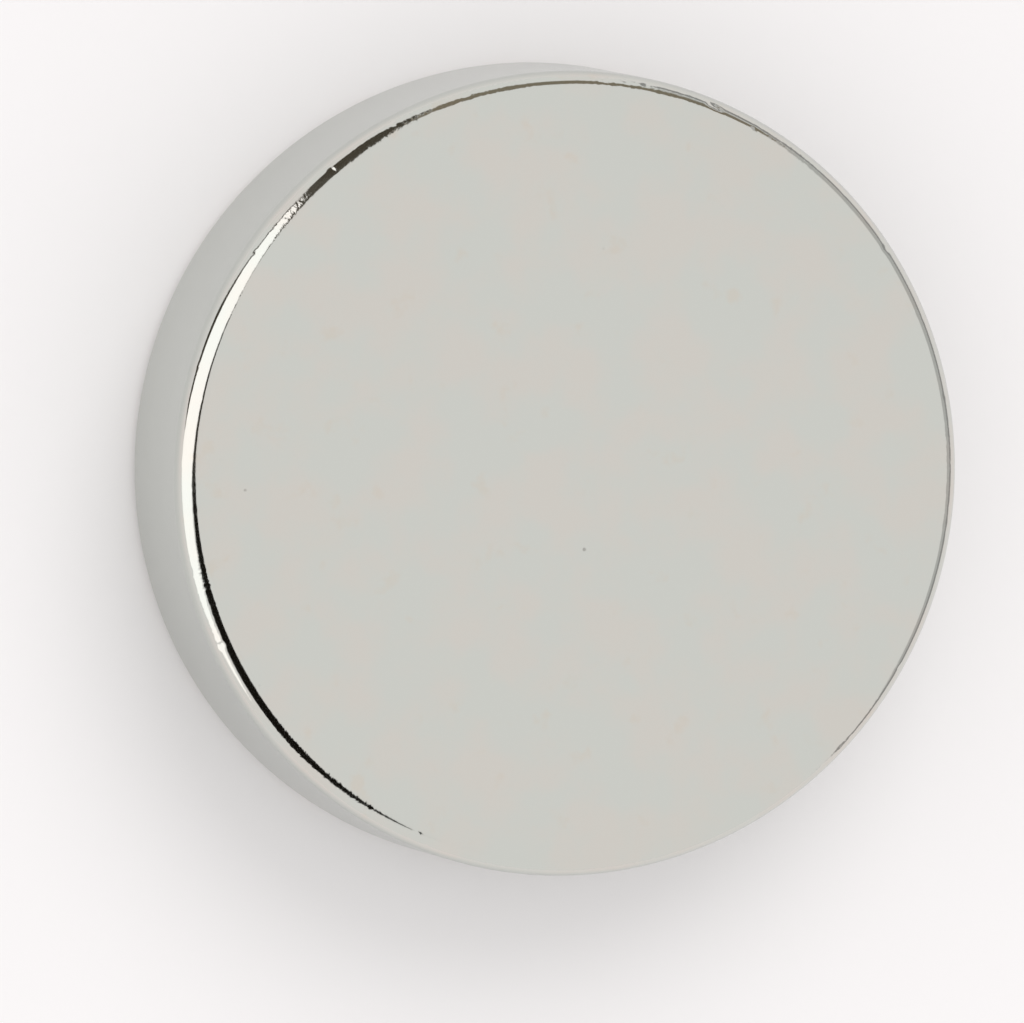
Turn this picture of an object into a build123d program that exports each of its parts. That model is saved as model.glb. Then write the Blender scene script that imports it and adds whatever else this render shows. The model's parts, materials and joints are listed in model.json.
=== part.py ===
from build123d import *
from math import cos, radians, sin
import os

# A disc magnet: one sintered disc, ground to thickness, tumbled so that its edges are round,
# and plated bright all over. The plating is a finish of about 0.02 mm, not a piece of its own.
# Z is the disc's axis, and the origin is the centre of the lower pole face, which it stands on.

# Driving dimensions, in millimetres and degrees
diameter = 20.0  # across the rim
thickness = 5.0  # from pole face to pole face
edge_radius = 0.5  # rounding between the rim and each pole face
roll_off_width = 0.5  # band beside the rounding where tumbling has lowered the pole face
roll_off_slope = 2.5  # how far that band has turned down where it meets the rounding

# The section's corners, measured from the axis and from the disc's middle plane
slope = radians(roll_off_slope)
half_thickness = thickness / 2
rim_radius = diameter / 2
shoulder_radius = rim_radius - edge_radius * (1 - sin(slope))
flat_radius = shoulder_radius - roll_off_width
roll_off_drop = roll_off_width * (1 - cos(slope)) / sin(slope)
shoulder_height = half_thickness - roll_off_drop
rim_height = shoulder_height - edge_radius * cos(slope)

# The section's own axes: x out from the disc's axis, y up from the middle plane
section_plane = Plane(origin=(0, 0, half_thickness), x_dir=(1, 0, 0), z_dir=(0, -1, 0))
middle_plane = Plane.XZ

with BuildPart() as magnet_disc:
    with BuildSketch(section_plane):
        with BuildLine():
            pole_face = Line((0, half_thickness), (flat_radius, half_thickness))
            roll_off = TangentArc(
                pole_face @ 1, (shoulder_radius, shoulder_height), tangent=pole_face % 1
            )
            rounding = TangentArc(
                roll_off @ 1, (rim_radius, rim_height), tangent=roll_off % 1
            )
            mirror(about=middle_plane)
            rim = Line((rim_radius, rim_height), (rim_radius, -rim_height))
            centre_line = Line((0, half_thickness), (0, -half_thickness))
        make_face()
    revolve(axis=Axis.Z)

os.makedirs("parts", exist_ok=True)
export_step(magnet_disc.part, "parts/magnet_disc.step")
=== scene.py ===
import json
import math

import bmesh
import bpy
from mathutils import Matrix, Vector


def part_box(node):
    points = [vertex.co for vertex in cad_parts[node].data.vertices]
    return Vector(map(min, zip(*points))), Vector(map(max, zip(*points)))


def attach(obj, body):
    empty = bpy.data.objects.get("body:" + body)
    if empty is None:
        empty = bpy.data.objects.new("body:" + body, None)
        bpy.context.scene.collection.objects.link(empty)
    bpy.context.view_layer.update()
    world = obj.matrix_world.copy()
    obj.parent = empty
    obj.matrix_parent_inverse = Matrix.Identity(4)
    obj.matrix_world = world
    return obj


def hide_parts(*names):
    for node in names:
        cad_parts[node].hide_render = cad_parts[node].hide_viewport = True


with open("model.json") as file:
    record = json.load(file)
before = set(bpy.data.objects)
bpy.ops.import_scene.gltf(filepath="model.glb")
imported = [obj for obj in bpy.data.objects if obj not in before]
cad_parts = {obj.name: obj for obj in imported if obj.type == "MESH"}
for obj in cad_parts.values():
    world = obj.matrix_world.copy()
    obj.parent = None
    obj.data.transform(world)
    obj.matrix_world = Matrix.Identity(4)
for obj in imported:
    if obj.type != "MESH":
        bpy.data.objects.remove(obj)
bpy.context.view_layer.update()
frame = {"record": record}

MM = 0.001  # one millimetre in scene units, which are metres

# Sizes of the disc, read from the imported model
NODE = "magnet_disc"
LOWEST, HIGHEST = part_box(NODE)
THICKNESS = HIGHEST.z - LOWEST.z
RIM_RADIUS = (HIGHEST.x - LOWEST.x) / 2
MOUNTS = {mount["name"]: mount for mount in frame["record"]["mounts"]}
RIM_LENGTH = MOUNTS["rim"]["dims"]["length_mm"] * MM

# Sizes of the disc's edge
ROLL_OFF_WIDTH = 0.5 * MM
ROLL_OFF_SLOPE = math.radians(2.5)
ROLL_OFF_RADIUS = ROLL_OFF_WIDTH / math.sin(ROLL_OFF_SLOPE)
ROLL_OFF_DROP = ROLL_OFF_RADIUS * (1 - math.cos(ROLL_OFF_SLOPE))
EDGE_RADIUS = ((THICKNESS - RIM_LENGTH) / 2 - ROLL_OFF_DROP) / math.cos(ROLL_OFF_SLOPE)
FLAT_RADIUS = RIM_RADIUS - EDGE_RADIUS * (1 - math.sin(ROLL_OFF_SLOPE)) - ROLL_OFF_WIDTH
HALF_THICKNESS = THICKNESS / 2
HALF_RIM = RIM_LENGTH / 2


def linear(code):
    """The linear colour of an sRGB hex code such as D0CEC7."""
    levels = [int(code[i:i + 2], 16) / 255 for i in (0, 2, 4)]
    return tuple(x / 12.92 if x <= 0.04045 else ((x + 0.055) / 1.055) ** 2.4 for x in levels) + (1.0,)


def add(tree, kind, settings=None, inputs=None):
    """Adds a node to a tree. An input is a value, a node or socket to link, or a list of nodes to join."""
    node = tree.nodes.new(kind)
    for name, value in (settings or {}).items():
        setattr(node, name, value)
    for name, value in (inputs or {}).items():
        for source in value if isinstance(value, list) else [value]:
            if isinstance(source, bpy.types.Node):
                source = source.outputs[0]
            if isinstance(source, bpy.types.NodeSocket):
                tree.links.new(source, node.inputs[name])
            else:
                node.inputs[name].default_value = source
    return node


def direction(azimuth, elevation):
    """The unit vector that points to an azimuth, from +X towards +Y, and an elevation, in degrees."""
    a, e = math.radians(azimuth), math.radians(elevation)
    return Vector((math.cos(a) * math.cos(e), math.sin(a) * math.cos(e), math.sin(e)))


# ---------------------------------------------------------------- materials

SMOOTH = {"interpolation_type": "SMOOTHSTEP"}
SEEDED = {"noise_dimensions": "4D"}

CLOUD_SIZE = 1.7 * MM  # clouds in the plating's tone
STAIN_SIZE = 0.8 * MM  # faint tea-coloured specks among them
# The pinholes set by PIT_SPACING are darkened in colour as painted shade
PIT_SPACING = 1.3 * MM  # pinholes of the sintered blank
PATCH_SIZE = 3.4 * MM  # stretches of the edges that are worn
PEEL_SIZE = 0.30 * MM  # ripple of the plating, drawn coarser than it is so that it shows
GRAIN_SIZE = 0.13 * MM  # grain of the worn stretches


def bright_nickel_plate():
    """Bright nickel, electroplated on a ground and tumbled blank.

    The eye gets a pale mirror with faint warm and green clouds on the pole faces, a few pinholes darkened
    as painted shade, rough grain where the edges are worn, and a hazier rim, which isn't ground as the
    faces are, with a cooler, darker tone painted on it as a painted reflection.
    """
    material = bpy.data.materials.new("bright_nickel_plate")
    material.use_nodes = True
    tree = material.node_tree
    tree.nodes.clear()
    place = add(tree, "ShaderNodeTexCoord").outputs["Object"]

    # How far a point is from the axis tells the pole faces, the roundings and the rim apart
    across = add(tree, "ShaderNodeVectorMath", {"operation": "MULTIPLY"}, {0: place, 1: (1, 1, 0)})
    radius = add(tree, "ShaderNodeVectorMath", {"operation": "LENGTH"}, {0: across}).outputs["Value"]
    edge_band = {"Value": radius, "From Min": FLAT_RADIUS, "From Max": FLAT_RADIUS + ROLL_OFF_WIDTH}
    rounding = add(tree, "ShaderNodeMapRange", SMOOTH, edge_band)
    rim_band = {"Value": radius, "From Min": RIM_RADIUS - 0.12 * MM, "From Max": RIM_RADIUS - 0.01 * MM}
    rim = add(tree, "ShaderNodeMapRange", SMOOTH, rim_band)

    # Tone of the plating, with a painted reflection tone on the rim
    cloud_noise = {"Vector": place, "W": 0.0, "Scale": 1 / CLOUD_SIZE, "Detail": 4.0}
    clouds = add(tree, "ShaderNodeTexNoise", SEEDED, cloud_noise)
    warmth = add(tree, "ShaderNodeMapRange", SMOOTH, {"Value": clouds, "From Min": 0.4, "From Max": 0.62})
    tone = {"Fac": warmth, "Color1": linear("CFD0CA"), "Color2": linear("D3CFC8")}
    face_tone = add(tree, "ShaderNodeMixRGB", None, tone)
    stain_noise = {"Vector": place, "W": 4.0, "Scale": 1 / STAIN_SIZE, "Detail": 3.0}
    stains = add(tree, "ShaderNodeTexNoise", SEEDED, stain_noise)
    stained = {"Value": stains, "From Min": 0.60, "From Max": 0.74, "To Max": 0.45}
    stain = add(tree, "ShaderNodeMapRange", SMOOTH, stained)
    tone = {"Fac": stain, "Color1": face_tone, "Color2": linear("D3C9BC")}
    face_tone = add(tree, "ShaderNodeMixRGB", None, tone)
    # Painted reflection: a cooler, darker base colour on the rim stands in for the cool tone the rim mirrors
    tone = {"Fac": rim, "Color1": face_tone, "Color2": linear("BFC2BD")}
    plating_and_painted_light = add(tree, "ShaderNodeMixRGB", None, tone)

    # Painted shade in pinholes, in a few places only: the holes are darkened in colour, with no relief cut
    # for them
    pit_cells = {"Vector": place, "Scale": 1 / PIT_SPACING, "Randomness": 1.0}
    pits = add(tree, "ShaderNodeTexVoronoi", None, pit_cells)
    hole = {"Value": pits, "From Min": 0.02, "From Max": 0.05, "To Min": 1.0, "To Max": 0.0}
    holes = add(tree, "ShaderNodeMapRange", SMOOTH, hole)
    few = add(tree, "ShaderNodeMapRange", SMOOTH, {"Value": stains, "From Min": 0.5, "From Max": 0.58})
    pinhole = add(tree, "ShaderNodeMath", {"operation": "MULTIPLY"}, {0: holes, 1: few})
    # Painted shade: the pinholes are darkened towards a dark warm grey
    painted_pit_shade = add(tree, "ShaderNodeMath", {"operation": "MULTIPLY"}, {0: pinhole, 1: 0.5})
    tone = {"Fac": painted_pit_shade, "Color1": plating_and_painted_light, "Color2": linear("6E6A62")}
    plating_and_painted_light = add(tree, "ShaderNodeMixRGB", None, tone)

    # Relief, with heights in millimetres: a ripple everywhere, and grain where the edges are worn
    peel_noise = {"Vector": place, "W": 2.0, "Scale": 1 / PEEL_SIZE, "Detail": 2.0}
    peel = add(tree, "ShaderNodeTexNoise", SEEDED, peel_noise)
    ripple = {"Value": rounding, "To Min": 0.0006, "To Max": 0.0018}
    ripple_height = add(tree, "ShaderNodeMapRange", None, ripple)
    relief = add(tree, "ShaderNodeMath", {"operation": "MULTIPLY"}, {0: peel, 1: ripple_height})
    patch_noise = {"Vector": place, "W": 21.0, "Scale": 1 / PATCH_SIZE, "Detail": 1.0}
    patches = add(tree, "ShaderNodeTexNoise", SEEDED, patch_noise)
    worn = {"Value": patches, "From Min": 0.46, "From Max": 0.58, "To Max": 0.006}
    grain_height = add(tree, "ShaderNodeMapRange", SMOOTH, worn)
    grain_noise = {"Vector": place, "W": 3.0, "Scale": 1 / GRAIN_SIZE, "Detail": 2.0}
    grain = add(tree, "ShaderNodeTexNoise", SEEDED, grain_noise)
    grain = add(tree, "ShaderNodeMath", {"operation": "MULTIPLY"}, {0: grain, 1: grain_height})
    grain = add(tree, "ShaderNodeMath", {"operation": "MULTIPLY"}, {0: grain, 1: rounding})
    relief = add(tree, "ShaderNodeMath", {"operation": "ADD"}, {0: relief, 1: grain})
    bump = add(tree, "ShaderNodeBump", None, {"Height": relief, "Strength": 1.0, "Distance": MM})

    # Gloss: bright on the faces, hazier on the rim
    gloss = {"Value": rim, "To Min": 0.09, "To Max": 0.19}
    haze = add(tree, "ShaderNodeMapRange", None, gloss)
    surface = {"Base Color": plating_and_painted_light, "Metallic": 1.0, "Roughness": haze, "Normal": bump}
    metal = add(tree, "ShaderNodeBsdfPrincipled", None, surface)
    add(tree, "ShaderNodeOutputMaterial", None, {"Surface": metal})
    return material


def matt_white_paper():
    """Smooth matt paper, uncoated: one plain white all over, which shows only the light on it."""
    material = bpy.data.materials.new("matt_white_paper")
    material.use_nodes = True
    shader = material.node_tree.nodes["Principled BSDF"]
    shader.inputs["Base Color"].default_value = linear("FCF9F9")
    shader.inputs["Roughness"].default_value = 1.0
    shader.inputs["Specular IOR Level"].default_value = 0.0
    return material


def plain_glow(name, colour, level):
    """The even face of a studio panel, from black felt near 0 to a lit softbox above 1."""
    material = bpy.data.materials.new(name)
    material.use_nodes = True
    tree = material.node_tree
    tree.nodes.clear()
    glow = add(tree, "ShaderNodeEmission", None, {"Color": linear(colour), "Strength": level})
    add(tree, "ShaderNodeOutputMaterial", None, {"Surface": glow})
    return material


# ---------------------------------------------------------------- the disc

# How finely the disc's section and its turn are divided
TURN_STEPS = 960
ROUNDING_STEPS = 18
ROLL_OFF_STEPS = 5
FACE_STEPS = 12
RIM_STEPS = 8
CLOSING_DISTANCE = 0.0002 * MM

# Nicks that handling has left along the two roundings
NICK_SIZE = 0.34 * MM
NICK_DEPTH = 0.022 * MM
NICK_SEED = 11.0

# The section's points, out from the axis and up from the middle plane, and its angles
SECTION = {
    "Edge radius": EDGE_RADIUS,
    "Edge centre": (RIM_RADIUS - EDGE_RADIUS, HALF_RIM, 0.0),
    "Edge turn": math.pi / 2 - ROLL_OFF_SLOPE,
    "Roll-off radius": ROLL_OFF_RADIUS,
    "Roll-off centre": (FLAT_RADIUS, HALF_THICKNESS - ROLL_OFF_RADIUS, 0.0),
    "Roll-off turn": ROLL_OFF_SLOPE,
    "Flat edge": (FLAT_RADIUS, HALF_THICKNESS, 0.0),
    "Face centre": (0.0, HALF_THICKNESS, 0.0),
    "Rim foot": (RIM_RADIUS, -HALF_RIM, 0.0),
    "Rim top": (RIM_RADIUS, HALF_RIM, 0.0),
    "Full turn": (0.0, 0.0, 2 * math.pi),
    "Middle": (0.0, 0.0, LOWEST.z + HALF_THICKNESS),
    "Nick size": NICK_SIZE,
    "Nick depth": NICK_DEPTH,
}


def disc_tree(finish):
    """The rule of the disc: its section is drawn anticlockwise, swept straight, wrapped and closed."""
    tree = bpy.data.node_groups.new("turned_disc", "GeometryNodeTree")
    for name, value in SECTION.items():
        kind = "NodeSocketVector" if isinstance(value, tuple) else "NodeSocketFloat"
        tree.interface.new_socket(name, in_out="INPUT", socket_type=kind)
    tree.interface.new_socket("Geometry", in_out="OUTPUT", socket_type="NodeSocketGeometry")
    given = add(tree, "NodeGroupInput").outputs

    # The upper corner of the section: its rounding, the band that has rolled off, and the pole face
    arc = {"Radius": given["Edge radius"], "Start Angle": 0.0, "Sweep Angle": given["Edge turn"]}
    arc["Resolution"] = ROUNDING_STEPS + 1
    rounding = add(tree, "GeometryNodeCurveArc", {"mode": "RADIUS"}, arc)
    at_edge = {"Geometry": rounding, "Translation": given["Edge centre"]}
    rounding = add(tree, "GeometryNodeTransform", None, at_edge)
    arc = {"Radius": given["Roll-off radius"], "Start Angle": given["Edge turn"]}
    arc["Sweep Angle"] = given["Roll-off turn"]
    arc["Resolution"] = ROLL_OFF_STEPS + 1
    roll_off = add(tree, "GeometryNodeCurveArc", {"mode": "RADIUS"}, arc)
    at_band = {"Geometry": roll_off, "Translation": given["Roll-off centre"]}
    roll_off = add(tree, "GeometryNodeTransform", None, at_band)
    face_ends = {"Start": given["Flat edge"], "End": given["Face centre"]}
    face = add(tree, "GeometryNodeCurvePrimitiveLine", None, face_ends)
    face = add(tree, "GeometryNodeResampleCurve", None, {"Curve": face, "Count": FACE_STEPS + 1})
    corner = add(tree, "GeometryNodeJoinGeometry", None, {0: [rounding, roll_off, face]})

    # The lower corner is its mirror image, and the rim joins the two
    lower = add(tree, "GeometryNodeTransform", None, {"Geometry": corner, "Scale": (1, -1, 1)})
    lower = add(tree, "GeometryNodeReverseCurve", None, {"Curve": lower})
    rim_ends = {"Start": given["Rim foot"], "End": given["Rim top"]}
    rim = add(tree, "GeometryNodeCurvePrimitiveLine", None, rim_ends)
    rim = add(tree, "GeometryNodeResampleCurve", None, {"Curve": rim, "Count": RIM_STEPS + 1})
    section = add(tree, "GeometryNodeJoinGeometry", None, {0: [corner, lower, rim]})

    # One full turn, swept along Z and then wrapped about it
    turn = add(tree, "GeometryNodeCurvePrimitiveLine", None, {"End": given["Full turn"]})
    turn = add(tree, "GeometryNodeResampleCurve", None, {"Curve": turn, "Count": TURN_STEPS + 1})
    swept = add(tree, "GeometryNodeCurveToMesh", None, {"Curve": turn, "Profile Curve": section})
    place = add(tree, "GeometryNodeInputPosition")
    at = add(tree, "ShaderNodeSeparateXYZ", None, {0: place}).outputs
    upright = add(tree, "ShaderNodeCombineXYZ", None, {"X": at["X"], "Z": at["Y"]})
    angle = add(tree, "ShaderNodeMath", {"operation": "MULTIPLY"}, {0: at["Z"], 1: -1.0})
    wrap = {"Vector": upright, "Angle": angle}
    wrapped = add(tree, "ShaderNodeVectorRotate", {"rotation_type": "Z_AXIS"}, wrap)
    disc = add(tree, "GeometryNodeSetPosition", None, {"Geometry": swept, "Position": wrapped})
    closing = {"Geometry": disc, "Distance": CLOSING_DISTANCE}
    disc = add(tree, "GeometryNodeMergeByDistance", None, closing)
    disc = add(tree, "GeometryNodeTransform", None, {"Geometry": disc, "Translation": given["Middle"]})

    # Nicks push the surface in on the roundings only, where it faces neither along the axis nor out from it
    normal = add(tree, "GeometryNodeInputNormal")
    along = add(tree, "ShaderNodeSeparateXYZ", None, {0: normal}).outputs["Z"]
    along = add(tree, "ShaderNodeMath", {"operation": "MULTIPLY"}, {0: along, 1: along})
    outward = add(tree, "ShaderNodeMath", {"operation": "SUBTRACT"}, {0: 1.0, 1: along})
    slanted = add(tree, "ShaderNodeMath", {"operation": "MULTIPLY"}, {0: along, 1: outward})
    fineness = add(tree, "ShaderNodeMath", {"operation": "DIVIDE"}, {0: 1.0, 1: given["Nick size"]})
    scatter = {"Vector": place, "W": NICK_SEED, "Scale": fineness, "Detail": 2.0}
    scattered = add(tree, "ShaderNodeTexNoise", SEEDED, scatter)
    struck = {"Value": scattered, "From Min": 0.60, "From Max": 0.74, "To Max": -4.0}
    nick = add(tree, "ShaderNodeMapRange", SMOOTH, struck)
    nick = add(tree, "ShaderNodeMath", {"operation": "MULTIPLY"}, {0: nick, 1: slanted})
    push = add(tree, "ShaderNodeMath", {"operation": "MULTIPLY"}, {0: nick, 1: given["Nick depth"]})
    offset = add(tree, "ShaderNodeVectorMath", {"operation": "SCALE"}, {0: normal, "Scale": push})
    disc = add(tree, "GeometryNodeSetPosition", None, {"Geometry": disc, "Offset": offset})

    disc = add(tree, "GeometryNodeSetShadeSmooth", None, {"Geometry": disc})
    disc = add(tree, "GeometryNodeRealizeInstances", None, {"Geometry": disc})
    disc = add(tree, "GeometryNodeSetMaterial", None, {"Geometry": disc, "Material": finish})
    add(tree, "NodeGroupOutput", None, {"Geometry": disc})
    return tree


def plated_disc(finish):
    """The whole magnet, made by the rule of the disc and kept as a plain mesh."""
    disc = bpy.data.objects.new("nickel_plated_disc", bpy.data.meshes.new("nickel_plated_disc"))
    bpy.context.scene.collection.objects.link(disc)
    rule = disc.modifiers.new("turned_disc", "NODES")
    rule.node_group = disc_tree(finish)
    for socket in rule.node_group.interface.items_tree:
        if socket.name in SECTION:
            rule[socket.identifier] = SECTION[socket.name]
    bpy.context.view_layer.update()
    made = disc.evaluated_get(bpy.context.evaluated_depsgraph_get())
    disc.data = bpy.data.meshes.new_from_object(made)
    disc.modifiers.clear()
    disc.data.name = disc.name
    return disc


disc = plated_disc(bright_nickel_plate())
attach(disc, "root")
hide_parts(NODE)


# ---------------------------------------------------------------- the studio

CENTRE = Vector((0, 0, HIGHEST.z))  # middle of the upper pole face
PANEL_DISTANCE = 0.4
WHITE_CLOTH = "FFFFFF"
BROWN_FELT = "F0E2C8"
FELT_DISTANCE = 0.38  # felt hangs in front of the lit panels, so that no two share a surface
PANEL_STEPS = 10
FLOOR_RADIUS = 3.0
FLOOR_SIDES = 128
FLOOR_GAP = 0.01 * MM
SKY_LEVEL = 0.95  # the sky as the lens and the metal show it
SKY_FILL = 0.86  # the sky's share of the light on matt surfaces, which the key lamp makes up to about 1

# Views of the panels in the metal, each outline as azimuth and elevation in degrees
SOFTBOX_LEFT = [
    (112, 52), (130, 36), (150, 21), (176, 7), (204, 8), (226, 24), (224, 33),
    (208, 42), (203, 54), (190, 66), (170, 78), (130, 82),
]
FELT_BEHIND = [(99, 30), (99, 58), (106, 76), (122, 82), (121, 58), (126, 44), (124, 30), (112, 20)]
FELT_STRIP = [(127, 38), (136, 32), (150, 22), (176, 8), (170, 2), (152, 6), (142, 22), (134, 29), (127, 31)]
FELT_IN_FRONT = [
    (212, 52), (205, 58), (198, 68), (200, 83), (250, 86),
    (275, 80), (273, 56), (256, 46), (240, 41), (226, 44),
]
FELT_OVERHEAD = [
    (112, 87), (124, 83), (150, 80), (170, 77), (190, 66), (198, 69), (199, 84), (190, 87), (150, 87),
]
DIM_BEHIND = [(42, 16), (46, 34), (70, 46), (98, 54), (98, 30), (68, 26)]
WALL_RIGHT = [(-30, 13), (-25, 26), (20, 32), (60, 27), (64, 15), (20, 13)]
SHELF_RIGHT = [(-38, -1), (-38, 12), (20, 12), (64, 12), (66, -1), (20, -1)]



def floor():
    """The ground that the disc stands on, a hair below it so that the two faces never share a plane."""
    mesh = bpy.data.meshes.new("ground")
    form = bmesh.new()
    bmesh.ops.create_circle(form, cap_ends=True, segments=FLOOR_SIDES, radius=FLOOR_RADIUS)
    bmesh.ops.translate(form, verts=form.verts, vec=(0, 0, LOWEST.z - FLOOR_GAP))
    form.to_mesh(mesh)
    form.free()
    mesh.materials.append(matt_white_paper())
    ground = bpy.data.objects.new("ground", mesh)
    bpy.context.scene.collection.objects.link(ground)


def panel(name, outline, colour, level, distance):
    """A studio panel that only the metal mirrors, stretched over the corners of its outline."""
    corners = [direction(*corner) for corner in outline]
    middle = sum(corners, Vector()).normalized()
    edge = []
    for start, end in zip(corners, corners[1:] + corners[:1]):
        edge += [start.lerp(end, i / PANEL_STEPS).normalized() for i in range(PANEL_STEPS)]
    mesh = bpy.data.meshes.new(name)
    form = bmesh.new()
    inner = None
    for ring in range(1, PANEL_STEPS + 1):
        spread = [middle.lerp(point, ring / PANEL_STEPS).normalized() * distance for point in edge]
        outer = [form.verts.new(point) for point in spread]
        if inner:
            for i in range(len(edge)):
                j = (i + 1) % len(edge)
                form.faces.new((inner[i], inner[j], outer[j], outer[i]))
        else:
            form.faces.new(outer)
        inner = outer
    form.to_mesh(mesh)
    form.free()
    mesh.materials.append(plain_glow(name, colour, level))
    made = bpy.data.objects.new(name, mesh)
    bpy.context.scene.collection.objects.link(made)
    made.visible_camera = False
    made.visible_diffuse = False
    made.visible_shadow = False


def sky():
    """An even white sky, which the lens and the metal see whole, while matt surfaces get a part of it."""
    world = bpy.data.worlds.new("even_sky")
    world.use_nodes = True
    tree = world.node_tree
    rays = add(tree, "ShaderNodeLightPath").outputs
    seen = rays["Is Camera Ray"]
    for ray in ("Is Glossy Ray", "Is Transmission Ray"):
        seen = add(tree, "ShaderNodeMath", {"operation": "MAXIMUM"}, {0: seen, 1: rays[ray]})
    level = add(tree, "ShaderNodeMapRange", None, {"Value": seen, "To Min": SKY_FILL, "To Max": SKY_LEVEL})
    shader = tree.nodes["Background"]
    shader.inputs["Color"].default_value = linear("FFFFFF")
    tree.links.new(level.outputs[0], shader.inputs["Strength"])
    bpy.context.scene.world = world


def lamp(name, azimuth, elevation, spread, strength):
    """A soft light from far off, even over the ground, that stays out of the metal's reflections."""
    light = bpy.data.lights.new(name, "SUN")
    light.angle = math.radians(spread)
    light.energy = strength
    made = bpy.data.objects.new(name, light)
    bpy.context.scene.collection.objects.link(made)
    made.location = direction(azimuth, elevation)
    made.rotation_euler = (-made.location).to_track_quat("-Z", "Y").to_euler()
    made.visible_glossy = False


def camera():
    """A long lens that looks down on the disc, tipped towards the left side of the view."""
    tipped_towards = math.radians(166)
    tip = math.radians(15)
    distance = 0.8
    frame_width = 25.37 * MM
    aim_right, aim_up = -1.446 * MM, -0.915 * MM
    axis = Vector((-math.sin(tipped_towards), math.cos(tipped_towards), 0))
    turn = Matrix.Rotation(tip, 4, axis)
    right, up, back = (turn.to_3x3() @ Vector(v) for v in ((1, 0, 0), (0, 1, 0), (0, 0, 1)))
    data = bpy.data.cameras.new("view")
    data.sensor_width = 36
    data.lens = data.sensor_width * distance / frame_width
    data.clip_start, data.clip_end = 0.01, 10
    made = bpy.data.objects.new("view", data)
    bpy.context.scene.collection.objects.link(made)
    made.matrix_world = Matrix.Translation(CENTRE + right * aim_right + up * aim_up + back * distance) @ turn
    bpy.context.scene.camera = made


floor()
sky()
panel("softbox_left", SOFTBOX_LEFT, WHITE_CLOTH, level=1.53, distance=PANEL_DISTANCE)
panel("wall_right", WALL_RIGHT, WHITE_CLOTH, level=0.6, distance=PANEL_DISTANCE)
panel("shelf_right", SHELF_RIGHT, WHITE_CLOTH, level=0.38, distance=PANEL_DISTANCE)
panel("dim_behind", DIM_BEHIND, BROWN_FELT, level=0.3, distance=FELT_DISTANCE)
panel("felt_behind", FELT_BEHIND, BROWN_FELT, level=0.09, distance=FELT_DISTANCE)
panel("felt_strip", FELT_STRIP, BROWN_FELT, level=0.07, distance=FELT_DISTANCE)
panel("felt_in_front", FELT_IN_FRONT, BROWN_FELT, level=0.01, distance=FELT_DISTANCE)
panel("felt_overhead", FELT_OVERHEAD, BROWN_FELT, level=0.03, distance=FELT_DISTANCE)
lamp("key", azimuth=78, elevation=48, spread=40, strength=0.62)
camera()
bpy.context.scene.view_settings.view_transform = "Standard"
